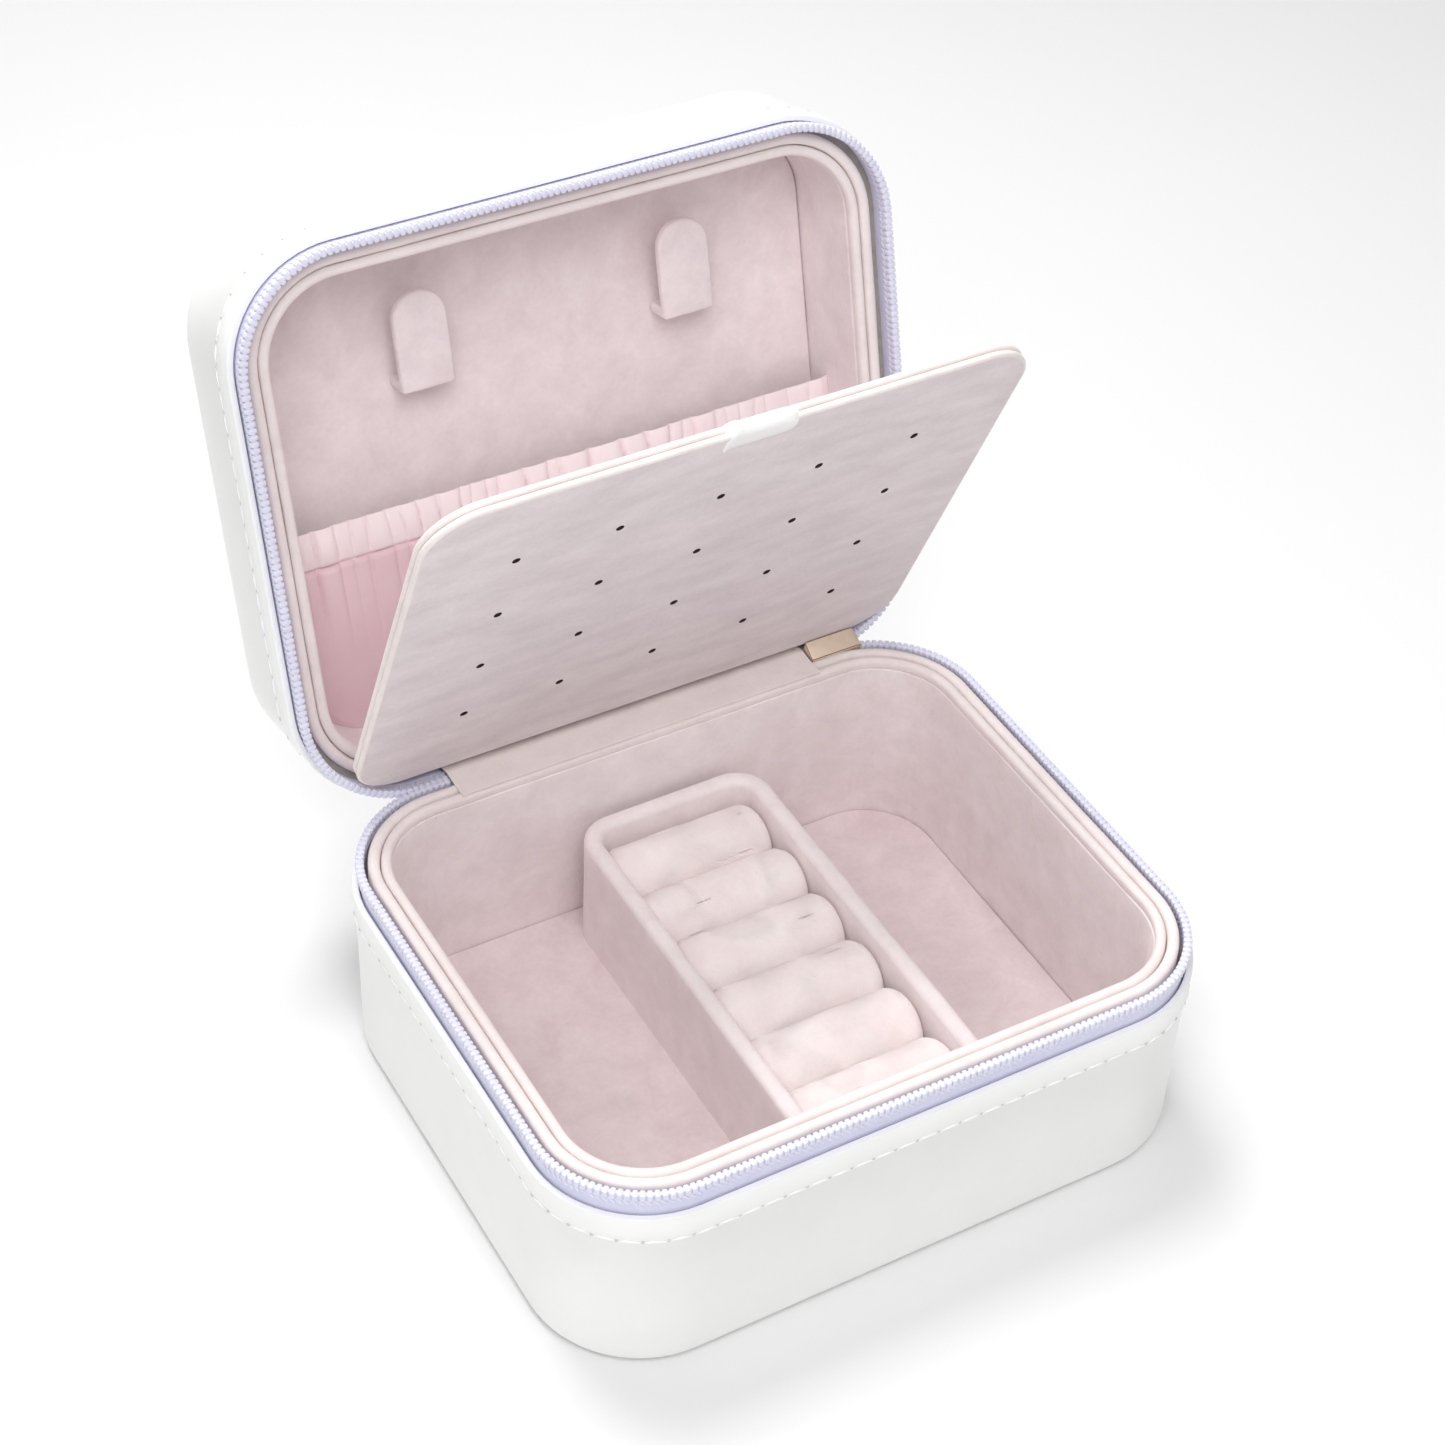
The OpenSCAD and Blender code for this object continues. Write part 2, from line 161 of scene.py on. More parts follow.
COVER_LOW, COVER_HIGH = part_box("base_cover_wall")
WIDTH, DEPTH = COVER_HIGH.x - COVER_LOW.x, COVER_HIGH.y - COVER_LOW.y
CORNER = 26.5 * MM
CORNER_STEPS = 16
LEATHER = 1.2 * MM
EDGE_ROUND, EDGE_STEPS = 3 * MM, 6
CUT_EDGE_ROUND = 0.45 * MM
BAND, BAND_SLOPE, BAND_PROUD = 8.2 * MM, 0.7 * MM, 0.55 * MM
STITCH_BELOW_EDGE = 7 * MM
GROOVE_HALF, GROOVE_DEEP = 0.5 * MM, 0.22 * MM
NEAR = 0.01 * MM  # how far from a plane a vertex may be and still count as on it

JOINTS = {joint["name"]: joint for joint in frame["joints"]}
LID_HINGE = Vector(JOINTS["lid_hinge"]["pos_m"])
LID_ANGLE = math.radians(JOINTS["lid_hinge"]["range_deg"][1])
# Pieces of the lid are modelled shut, above the base, and then turned open
LID_OPEN = (Matrix.Translation(LID_HINGE) @ Matrix.Rotation(-LID_ANGLE, 4, "X")
            @ Matrix.Translation(-LID_HINGE))


def shut_box(name, opened=LID_OPEN):
    """Lowest and highest corners of a solid with the case shut."""
    points = [opened.inverted() @ vertex.co for vertex in frame["nodes"][name].data.vertices]
    return [Vector([end(p[i] for p in points) for i in range(3)]) for end in (min, max)]


def only(piece):
    """Leave edit mode, with this piece alone selected and active."""
    if bpy.context.object and bpy.context.object.mode != "OBJECT":
        bpy.ops.object.mode_set(mode="OBJECT")
    bpy.ops.object.select_all(action="DESELECT")
    if piece:
        piece.select_set(True)
        bpy.context.view_layer.objects.active = piece


def added(name, scale, primitive, **settings):
    """A new primitive, at its size and place, with its transform in its mesh."""
    only(None)
    primitive(**settings)
    piece = bpy.context.object
    piece.name = name
    piece.scale = scale
    bpy.ops.object.transform_apply(location=True, rotation=True, scale=True)
    return piece


def pick(piece, kind, wanted):
    """Select, in edit mode, the vertices, edges or faces whose middle `wanted` accepts."""
    only(piece)
    bpy.ops.object.mode_set(mode="EDIT")
    bpy.ops.mesh.select_mode(type=kind)
    bpy.ops.mesh.select_all(action="DESELECT")
    bpy.ops.object.mode_set(mode="OBJECT")
    mesh = piece.data
    if kind == "VERT":
        for vertex in mesh.vertices:
            vertex.select = wanted(vertex.co)
    elif kind == "EDGE":
        for edge in mesh.edges:
            edge.select = all(wanted(mesh.vertices[v].co) for v in edge.vertices)
    else:
        for face in mesh.polygons:
            face.select = wanted(face.center, face.normal)
    bpy.ops.object.mode_set(mode="EDIT")


def rounded_plate(name, width, depth, radius, middle):
    """A flat rounded rectangle of one face."""
    plate = added(name, (width, depth, 1), bpy.ops.mesh.primitive_plane_add,
                  size=1, location=middle)
    pick(plate, "VERT", lambda co: True)
    bpy.ops.mesh.bevel(affect="VERTICES", offset=radius, segments=CORNER_STEPS, profile=0.5)
    return plate


def drawn_out(height):
    """In edit mode, extrude the whole piece along Z."""
    bpy.ops.mesh.select_all(action="SELECT")
    bpy.ops.mesh.extrude_region_move(TRANSFORM_OT_translate={"value": (0, 0, height)})


def cut(place, across):
    """In edit mode, add a ring of edges where a plane through this place crosses the piece."""
    bpy.ops.mesh.select_all(action="SELECT")
    bpy.ops.mesh.bisect(plane_co=place, plane_no=across)


def faced_out(piece):
    """Turn all of a piece's faces outwards, and stay in edit mode."""
    only(piece)
    bpy.ops.object.mode_set(mode="EDIT")
    bpy.ops.mesh.select_all(action="SELECT")
    bpy.ops.mesh.normals_make_consistent(inside=False)


def modified(piece, kind, **settings):
    """Add a modifier and apply it."""
    only(piece)
    modifier = piece.modifiers.new(kind.lower(), kind)
    for key, value in settings.items():
        setattr(modifier, key, value)
    bpy.ops.object.modifier_apply(modifier=modifier.name)


def settle(piece, material, body, slot, *nodes, angle=40):
    """Finish a piece: its shading, material, body and the solids that it stands for. The slot is
    not used.
    """
    only(piece)
    bpy.ops.object.shade_smooth_by_angle(angle=math.radians(angle))
    if material:
        piece.data.materials.append(material)
    if body:
        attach(piece, body)
    if nodes:
        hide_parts(*nodes)
    return piece


# Polyurethane leather: knitted cloth coated and pressed with a fine pebble grain, which gives
# a soft broad gloss broken by cells about 0.7 mm across
def artificial_leather(name, tone, shade, roughness):
    material = new_material(name)
    place = node(material, "ShaderNodeTexCoord")
    cells = node(material, "ShaderNodeTexVoronoi",
                 {"Vector": place.outputs["Object"], "Scale": 1400.0}, feature="F1")
    hollows = node(material, "ShaderNodeTexNoise",
                   {"Vector": place.outputs["Object"], "Scale": 60.0, "Detail": 4.0})
    hue = node(material, "ShaderNodeMix",
               {0: hollows.outputs["Fac"], 6: colour(shade), 7: colour(tone)}, data_type="RGBA")
    polish = node(material, "ShaderNodeMapRange",
                  {"Value": hollows.outputs["Fac"], "To Min": roughness - 0.05,
                   "To Max": roughness + 0.07})
    grain = node(material, "ShaderNodeBump",
                 {"Height": cells.outputs["Distance"], "Strength": 0.10, "Distance": 0.1 * MM})
    soft = node(material, "ShaderNodeBump",
                {"Height": hollows.outputs["Fac"], "Strength": 0.12, "Distance": 0.4 * MM,
                 "Normal": grain.outputs["Normal"]})
    return shaded(material, Base_Color=hue.outputs[2], Roughness=polish.outputs["Result"],
                  Normal=soft.outputs["Normal"], IOR=1.46, Specular_IOR_Level=0.4,
                  Coat_Weight=0.08, Coat_Roughness=0.3)


white_leather = artificial_leather("white_pu_leather", "#FAFAF9", "#F3F3F2", 0.42)


def leather_cover(name, closed_z, open_z):
    """An open box from its flat outer face at closed_z to its turned edge at open_z."""
    up = 1 if open_z > closed_z else -1
    cover = rounded_plate(name, WIDTH, DEPTH, CORNER, (0, 0, closed_z))
    drawn_out(open_z - closed_z)
    bpy.ops.mesh.delete(type="ONLY_FACE")
    pick(cover, "EDGE", lambda co: abs(co.z - closed_z) < NEAR)
    bpy.ops.mesh.bevel(affect="EDGES", offset=EDGE_ROUND, segments=EDGE_STEPS, profile=0.5)
    for below in (BAND, BAND - BAND_SLOPE):
        cut((0, 0, open_z - up * below), (0, 0, 1))
    faced_out(cover)
    # The turned edge stands proud, and its row of stitches lies in a shallow groove
    pick(cover, "VERT", lambda co: up * (open_z - co.z) < BAND - BAND_SLOPE + NEAR)
    bpy.ops.transform.shrink_fatten(value=BAND_PROUD, use_even_offset=True)
    for aside in (-GROOVE_HALF, 0, GROOVE_HALF):
        cut((0, 0, open_z - up * (STITCH_BELOW_EDGE + aside)), (0, 0, 1))
    pick(cover, "VERT", lambda co: abs(up * (open_z - co.z) - STITCH_BELOW_EDGE) < NEAR)
    bpy.ops.transform.shrink_fatten(value=-GROOVE_DEEP, use_even_offset=True)
    modified(cover, "SOLIDIFY", thickness=LEATHER + BAND_PROUD / 2, offset=-1,
             use_even_offset=True)
    modified(cover, "BEVEL", width=CUT_EDGE_ROUND, segments=3, limit_method="ANGLE",
             angle_limit=math.radians(50))
    return cover


base_cover = leather_cover("base_leather", 0, COVER_HIGH.z)
settle(base_cover, white_leather, "base", "white_leather", "base_cover_wall",
       "base_bottom_panel")

LID_COVER_Z = shut_box("lid_cover_wall")[0].z
lid_cover = leather_cover("lid_leather", shut_box("lid_top_panel")[1].z, LID_COVER_Z)
lid_cover.data.transform(LID_OPEN)
settle(lid_cover, white_leather, "lid", "white_leather", "lid_cover_wall", "lid_top_panel")


# ---- Cover stitching ----
# White polyester thread, lock-stitched along the lower edge of each turned band, with the
# needle's holes showing as small grey pits between the stitches.

STITCH_PITCH, STITCH_LENGTH, THREAD = 5.3 * MM, 3.9 * MM, 0.55 * MM
STITCH_SUNK = 0.12 * MM
NEEDLE_HOLE = Vector((0.9, 0.3, 0.8)) * MM


def on_outline(inset, run):
    """The place at a distance along the case's outline from its back's middle, going to +X.
    Its own X points along the outline and its own Y points out."""
    radius, heading = CORNER - inset, 0.0
    point = Vector((0, DEPTH / 2 - inset, 0))
    for side in (WIDTH / 2 - CORNER, DEPTH - 2 * CORNER, WIDTH - 2 * CORNER,
                 DEPTH - 2 * CORNER, WIDTH / 2 - CORNER + MM):
        ahead = Vector((math.cos(heading), math.sin(heading), 0))
        out = Vector((-ahead.y, ahead.x, 0))
        if run <= side:
            point += ahead * run
            break
        point, run = point + ahead * side, run - side
        turn = min(run / radius, math.pi / 2)
        run -= radius * turn
        middle, heading = point - out * radius, heading - turn
        point = middle + radius * Vector((-math.sin(heading), math.cos(heading), 0))
        if turn < math.pi / 2:
            break
    return Matrix.Translation(point) @ Matrix.Rotation(heading, 4, "Z")


def outline_length(inset):
    return (2 * (WIDTH + DEPTH) - 8 * CORNER) + 2 * math.pi * (CORNER - inset)


def repeat(piece, places):
    """Copy a small piece to each of its places, and join the copies."""
    only(None)
    for place in places[1:]:
        copy = piece.copy()
        copy.data = piece.data.copy()
        copy.data.transform(place)
        bpy.context.collection.objects.link(copy)
        copy.select_set(True)
    piece.data.transform(places[0])
    piece.select_set(True)
    bpy.context.view_layer.objects.active = piece
    bpy.ops.object.join()
    return piece


# Spun polyester thread: matt, slightly fuzzy, with its twist as a fine slanting rib
thread = new_material("white_polyester_thread")
thread_place = node(thread, "ShaderNodeTexCoord")
thread_twist = node(thread, "ShaderNodeTexWave",
                    {"Vector": thread_place.outputs["Object"], "Scale": 700.0,
                     "Distortion": 2.0}, wave_type="BANDS", bands_direction="DIAGONAL")
thread_bump = node(thread, "ShaderNodeBump",
                   {"Height": thread_twist.outputs["Fac"], "Strength": 0.3,
                    "Distance": 0.08 * MM})
shaded(thread, Base_Color=colour("#FDFDFD"), Roughness=0.6, Normal=thread_bump.outputs["Normal"])

# Needle hole: the same leather, pressed in and in shade
needle_hole = mottled("pressed_needle_hole", "#DEDEDC", "#C9C9C7", 900.0, Roughness=0.8)


def stitching(name, edge_z, up):
    stitch = added(name, (STITCH_LENGTH, THREAD, THREAD * 1.15),
                   bpy.ops.mesh.primitive_uv_sphere_add, radius=0.5, segments=8, ring_count=6,
                   location=(0, 0, 0), rotation=(0, 0, 0))
    stitch.data.materials.append(thread)
    hole = added(name + "_hole", NEEDLE_HOLE, bpy.ops.mesh.primitive_uv_sphere_add, radius=0.5,
                 segments=8, ring_count=4, location=(STITCH_PITCH / 2, 0, 0))
    hole.data.materials.append(needle_hole)
    only(stitch)
    hole.select_set(True)
    bpy.ops.object.join()
    inset = STITCH_SUNK - BAND_PROUD
    count = round(outline_length(inset) / STITCH_PITCH)
    sunk = Matrix.Translation((0, 0, edge_z - up * STITCH_BELOW_EDGE))
    return repeat(stitch, [sunk @ on_outline(inset, outline_length(inset) * i / count)
                           for i in range(count)])


base_stitches = stitching("base_stitches", COVER_HIGH.z, 1)
settle(base_stitches, None, "base", "white_leather")
lid_stitches = stitching("lid_stitches", LID_COVER_Z, -1)
lid_stitches.data.transform(LID_OPEN)
settle(lid_stitches, None, "lid", "white_leather")


# ---- Zip ----
# A nylon coil zip, cut in two halves that each stand up from behind a leather edge. Each half
# is a lilac woven tape with a paler coil along its free edge, sewn on by slanting stitches.

PART_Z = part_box("base_lip")[1].z
COIL_HEIGHT = 3.4 * MM
COIL_OUT, COIL_IN = 0.45 * MM, 2.45 * MM
TAPE_OUT, TAPE_IN = 1.35 * MM, 1.85 * MM
TAPE_ROOT = 13 * MM
CORE_FROM, CORE_ROUND = 0.35 * MM, 0.35 * MM
TOOTH_PITCH = 1.5 * MM
TOOTH = Vector((1.26 * MM, COIL_IN - COIL_OUT, 1.7 * MM))
TOOTH_UP, TOOTH_ROUND = 1.0 * MM, 0.38 * MM
SEWING = Vector((0.78, 0.55, 2.3)) * MM
SEWING_UP, SEWING_LEAN = 2.55 * MM, math.radians(38)
RING_EVERY = 7 * MM
ZIP_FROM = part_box("zip_slider")[1].x + 0.2 * MM
ZIP_TO = -47.3 * MM


def carry_round(piece, width, depth, radius, middle, start, end):
    """Run a standing section once round a rounded rectangle, clockwise from x = start to
    x = end on its back side, and close it. Straight runs get rings at regular steps."""
    only(piece)
    bpy.ops.object.mode_set(mode="EDIT")
    bpy.ops.mesh.select_mode(type="EDGE")
    bpy.ops.mesh.select_all(action="SELECT")
    bpy.ops.mesh.delete(type="ONLY_FACE")
    bpy.ops.mesh.select_all(action="SELECT")
    out_x, out_y = width / 2 - radius, depth / 2 - radius
    runs = ((out_x - start, 0), (0, -2 * out_y), (-2 * out_x, 0), (0, 2 * out_y),
            (end + out_x, 0))
    corners = ((out_x, out_y), (out_x, -out_y), (-out_x, -out_y), (-out_x, out_y), None)
    for (x, y), corner in zip(runs, corners):
        rings = max(1, round(math.hypot(x, y) / RING_EVERY))
        for _ in range(rings):
            bpy.ops.mesh.extrude_region_move(
                TRANSFORM_OT_translate={"value": (x / rings, y / rings, 0)})
        if corner:
            bpy.ops.mesh.spin(steps=CORNER_STEPS, angle=math.pi / 2, axis=(0, 0, 1),
                              center=(corner[0] + middle, corner[1], 0))
    bpy.ops.mesh.select_all(action="SELECT")
    bpy.ops.mesh.remove_doubles(threshold=0.002 * MM)
    if abs(start - end) > MM:
        bpy.ops.mesh.fill_holes(sides=0)
    faced_out(piece)


def ring(name, out, in_, low, high, round_low=0.0, round_high=0.0, levels=0, start=0.0, end=0.0,
         width=WIDTH, depth=DEPTH, radius=CORNER, middle=0.0):
    """A wall between two insets and two heights, that follows a rounded rectangle."""
    wall = added(name, (high - low, in_ - out, 1), bpy.ops.mesh.primitive_plane_add, size=1,
                 location=(middle + start, depth / 2 - (out + in_) / 2, (low + high) / 2),
                 rotation=(0, math.pi / 2, 0))
    for z, rounding in ((low, round_low), (high, round_high)):
        if rounding:
            pick(wall, "VERT", lambda co: abs(co.z - z) < NEAR)
            bpy.ops.mesh.bevel(affect="VERTICES", offset=rounding, segments=5, profile=0.5)
    carry_round(wall, width, depth, radius, middle, start, end)
    for i in range(levels):
        cut((0, 0, low + (high - low) * (i + 1) / (levels + 1)), (0, 0, 1))
    only(wall)
    return wall


# Woven polyester tape: threads about 0.35 mm apart, so its lilac looks faintly ribbed
zip_cloth = new_material("lilac_woven_zip_tape")
cloth_place = node(zip_cloth, "ShaderNodeTexCoord")
cloth_weave = node(zip_cloth, "ShaderNodeTexNoise",
                   {"Vector": cloth_place.outputs["Object"], "Scale": 1500.0, "Detail": 3.0})
cloth_fade = node(zip_cloth, "ShaderNodeTexNoise",
                  {"Vector": cloth_place.outputs["Object"], "Scale": 90.0})
cloth_mix = node(zip_cloth, "ShaderNodeMath",
                 {0: cloth_weave.outputs["Fac"], 1: cloth_fade.outputs["Fac"], 2: 0.1},
                 operation="MULTIPLY_ADD")
cloth_hue = node(zip_cloth, "ShaderNodeMix",
                 {0: cloth_mix.outputs[0], 6: colour("#D6D6F1"), 7: colour("#E9E9FA")},
                 data_type="RGBA")
cloth_bump = node(zip_cloth, "ShaderNodeBump",
                  {"Height": cloth_weave.outputs["Fac"], "Strength": 0.5,
                   "Distance": 0.15 * MM})
shaded(zip_cloth, Base_Color=cloth_hue.outputs[2], Roughness=0.75,
       Normal=cloth_bump.outputs["Normal"], Sheen_Weight=0.2)

# Drawn nylon filament: pale, slightly translucent, with a soft waxy gloss
nylon = mottled("pale_nylon_filament", "#E8E8F5", "#D6D6E8", 300.0, Roughness=0.42, IOR=1.53,
                Specular_IOR_Level=0.35)


def zip_half(side, up, body):
    """One half of the zip. `up` is 1 for the lid's half, which stands above the parting line."""
    def span(near, far):
        return sorted((PART_Z + up * near, PART_Z + up * far))

    tape = ring(side + "_zip_tape", TAPE_OUT, TAPE_IN, *span(COIL_HEIGHT - 0.3 * MM, TAPE_ROOT),
                start=ZIP_FROM, end=ZIP_TO)
    core = ring(side + "_zip_core", COIL_OUT + 0.5 * MM, COIL_IN - 0.4 * MM,
                *span(CORE_FROM, COIL_HEIGHT), round_low=CORE_ROUND, round_high=CORE_ROUND,
                start=ZIP_FROM, end=ZIP_TO)
    middle = (COIL_OUT + COIL_IN) / 2
    first = ZIP_FROM + 0.6 * MM
    last = outline_length(middle) + ZIP_TO - 0.6 * MM
    count = int((last - first) / TOOTH_PITCH)
    runs = [first + (last - first) * i / count for i in range(count + 1)]

    tooth = added(side + "_zip_teeth", TOOTH, bpy.ops.mesh.primitive_cube_add, size=1,
                  location=(0, 0, PART_Z + up * TOOTH_UP))
    modified(tooth, "BEVEL", width=TOOTH_ROUND, segments=2, limit_method="NONE")
    teeth = repeat(tooth, [on_outline(middle, run) for run in runs])

    sewn = added(side + "_zip_sewing", SEWING, bpy.ops.mesh.primitive_uv_sphere_add, radius=0.5,
                 segments=6, ring_count=6, rotation=(0, 0, 0))
    lean = Matrix.Rotation(SEWING_LEAN, 4, "Y")
    sewing = repeat(sewn, [on_outline(inset, run * outline_length(inset) / outline_length(middle))
                           @ Matrix.Translation((0, 0, PART_Z + up * SEWING_UP)) @ lean
                           for inset in (COIL_OUT + 0.45 * MM, COIL_IN - 0.35 * MM)
                           for run in runs])
    for piece, material, slot, nodes in (
            (tape, zip_cloth, "zip_tape", (side + "_zip_tape",)),
            (core, zip_cloth, "zip_coil", (side + "_zip_coil",)),
            (teeth, nylon, "zip_coil", ()), (sewing, nylon, "zip_coil", ())):
        if body == "lid":
            piece.data.transform(LID_OPEN)
        settle(piece, material, body, slot, *nodes)


zip_half("base", -1, "base")
zip_half("lid", 1, "lid")


# ---- Base rim and lining ----
# Short-pile velvet glued over foam: a soft band outside, a fuller roll inside it, the wall
# below that roll, and a padded floor. Each is a piece of its own, so its seams are real gaps.

FLOOR_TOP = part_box("base_floor_pad")[1].z
LIP_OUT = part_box("base_lip")[0].x - COVER_LOW.x
LINING_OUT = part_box("base_lining_wall")[0].x - COVER_LOW.x
ROOM_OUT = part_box("base_floor_pad")[0].x - COVER_LOW.x
ROLL_HEIGHT, ROLL_TOP_ROUND, ROLL_ROOT_ROUND = 3.0 * MM, 1.15 * MM, 0.9 * MM
BAND_ROUND, BAND_DEEP = 1.25 * MM, 1.5 * MM
LINING_ROUND = 0.5 * MM
SEAM = 0.12 * MM
# How much each surface swells, and the size of its swells in metres
BAND_SWELL, ROLL_SWELL, LINING_SWELL = ((0.15 * MM, 14 * MM), (0.15 * MM, 12 * MM),
                                        (0.35 * MM, 18 * MM))
# Where a padded wall's upright creases begin and are full, along X and along Y
CREASED = (("X", 44 * MM, 62 * MM), ("Y", 34 * MM, 50 * MM))


def softened(piece, amount, size):
    """Let a stuffed piece's surface swell and sink a little, as hand-laid foam does."""
    lumps = bpy.data.textures.new(piece.name + "_lumps", "CLOUDS")
    lumps.noise_scale = size
    lumps.noise_depth = 0
    modified(piece, "DISPLACE", texture=lumps, texture_coords="LOCAL", strength=amount,
             mid_level=0.5)
    return piece


# Polyester velvet: an upright pile under 1 mm long, pressed this way and that by hand, so it
# shows pale and dark patches about 9 mm wide, a fine nap and a light edge where it turns away
def velvet(name, light, dark, creases=0.0, brushed=None):
    material = new_material(name)
    place = node(material, "ShaderNodeTexCoord")
    patches = node(material, "ShaderNodeTexNoise",
                   {"Vector": place.outputs["Object"], "Scale": 110.0, "Detail": 3.0,
                    "Roughness": 0.6, "Distortion": 0.4})
    nap = node(material, "ShaderNodeTexNoise",
               {"Vector": place.outputs["Object"], "Scale": 900.0, "Detail": 2.0})
    if brushed is not None:
        turned = node(material, "ShaderNodeMapping",
                      {"Vector": place.outputs["Object"], "Rotation": brushed,
                       "Scale": (1.0, 2.6, 2.6)})
        strokes = node(material, "ShaderNodeTexNoise",
                       {"Vector": turned.outputs["Vector"], "Scale": 70.0, "Detail": 5.0})
        pressed = strokes.outputs["Fac"]
    else:
        pressed = patches.outputs["Fac"]
    both = node(material, "ShaderNodeMath", {0: nap.outputs["Fac"], 1: 0.35, 2: pressed},
                operation="MULTIPLY_ADD")
    level = node(material, "ShaderNodeMapRange",
                 {"Value": both.outputs[0], "From Min": 0.42, "From Max": 0.92})
    hue = node(material, "ShaderNodeMix",
               {0: level.outputs["Result"], 6: colour(dark), 7: colour(light)},
               data_type="RGBA")
    bump = node(material, "ShaderNodeBump",
                {"Height": both.outputs[0], "Strength": 0.35, "Distance": 0.45 * MM})
    if creases:
        axes = node(material, "ShaderNodeSeparateXYZ", {"Vector": place.outputs["Object"]})
        corner = None
        for axis, near, far in CREASED:
            size = node(material, "ShaderNodeMath", {0: axes.outputs[axis]},
                        operation="ABSOLUTE")
            share = node(material, "ShaderNodeMapRange",
                         {"Value": size.outputs[0], "From Min": near, "From Max": far})
            corner = share.outputs["Result"] if corner is None else node(
                material, "ShaderNodeMath", {0: corner, 1: share.outputs["Result"]},
                operation="MULTIPLY").outputs[0]
        upright = node(material, "ShaderNodeMapping",
                       {"Vector": place.outputs["Object"], "Scale": (1.0, 1.0, 0.12)})
        folds = node(material, "ShaderNodeTexNoise",
                     {"Vector": upright.outputs["Vector"], "Scale": 420.0, "Detail": 1.0})
        height = node(material, "ShaderNodeMath", {0: folds.outputs["Fac"], 1: corner},
                      operation="MULTIPLY")
        bump = node(material, "ShaderNodeBump",
                    {"Height": height.outputs[0], "Strength": creases, "Distance": 1.2 * MM,
                     "Normal": bump.outputs["Normal"]})
    return shaded(material, Base_Color=hue.outputs[2], Roughness=0.92, Specular_IOR_Level=0.12,
                  Normal=bump.outputs["Normal"], Sheen_Weight=0.35, Sheen_Roughness=0.45,
                  Sheen_Tint=colour("#FFF4F2"))


# The lining, floor, tray, rolls, lid and board are dressed in copies of one velvet, each copy's
# tone set to how bright its own part shows, so the differences between them are painted light and
# shade
wall_velvet = velvet("blush_velvet", "#F8EEEF", "#EBDFE0", creases=0.5)
rim_velvet = velvet("rim_blush_velvet", "#F3EAE8", "#E9DEDC")

base_band = softened(ring("base_rim_band", LIP_OUT + SEAM, LINING_OUT - SEAM,
                          COVER_HIGH.z - BAND_DEEP, PART_Z, round_high=BAND_ROUND), *BAND_SWELL)
settle(base_band, rim_velvet, "base", "velvet", "base_lip")

base_roll = softened(ring("base_rim_roll", LINING_OUT + SEAM, ROOM_OUT - 0.1 * MM,
                          PART_Z - ROLL_HEIGHT, PART_Z - 0.1 * MM,
                          round_low=ROLL_ROOT_ROUND, round_high=ROLL_TOP_ROUND), *ROLL_SWELL)
settle(base_roll, rim_velvet, "base", "velvet")

base_wall = softened(ring("base_lining", LINING_OUT, ROOM_OUT,
                          FLOOR_TOP - 2.4 * MM, PART_Z - ROLL_HEIGHT + 0.4 * MM,
                          round_high=LINING_ROUND, levels=7), *LINING_SWELL)
settle(base_wall, wall_velvet, "base", "velvet", "base_lining_wall")


def pad(name, inset, low, high, rounding):
    """A flat padded panel of the case's outline. Its upper edge is rounded, or its lower edge
    where the rounding is given as less than nothing."""
    panel = rounded_plate(name, WIDTH - 2 * inset, DEPTH - 2 * inset, CORNER - inset,
                          (0, 0, low))
    drawn_out(high - low)
    edge = high if rounding > 0 else low
    pick(panel, "EDGE", lambda co: abs(co.z - edge) < NEAR)
    bpy.ops.mesh.bevel(affect="EDGES", offset=abs(rounding), segments=4, profile=0.5)
    faced_out(panel)
    only(panel)
    return panel


floor_pad = pad("base_floor_pad_velvet", ROOM_OUT + 0.05 * MM, FLOOR_TOP - 2.5 * MM, FLOOR_TOP,
                0.9 * MM)
# The floor's copy of the velvet: its tone is painted light and shade
floor_velvet = velvet("floor_blush_velvet", "#EFE1E2", "#E0D0D2")
settle(floor_pad, floor_velvet, "base", "velvet", "base_floor_pad")


# ---- Ring tray ----
# A box of padded velvet walls glued to the floor, with rounded tops, that holds six foam
# rolls in a paler copy of the velvet, whose paleness is painted light. The rolls lie tight
# together, and rings are pushed between them.

TRAY_LOW, TRAY_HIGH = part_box("ring_tray")
TRAY_MIDDLE = (TRAY_LOW.x + TRAY_HIGH.x) / 2
TRAY_WALL, TRAY_CORNER, TRAY_TOP_ROUND = 4.5 * MM, 9 * MM, 1.7 * MM
ROLL_END_ROUND, ROLL_CUT_PITCH = 3.6 * MM, 4.5 * MM

tray = ring("ring_tray_walls", 0.1 * MM, TRAY_WALL - 0.1 * MM, TRAY_LOW.z, TRAY_HIGH.z,
            round_high=TRAY_TOP_ROUND, levels=5, width=TRAY_HIGH.x - TRAY_LOW.x,
            depth=TRAY_HIGH.y - TRAY_LOW.y, radius=TRAY_CORNER, middle=TRAY_MIDDLE)
softened(tray, 0.3 * MM, 16 * MM)
# The tray's copy of the velvet: its tone is painted light and shade
tray_velvet = velvet("tray_velvet", "#FAF0F0", "#EFE3E4")
settle(tray, tray_velvet, "base", "velvet", "ring_tray")

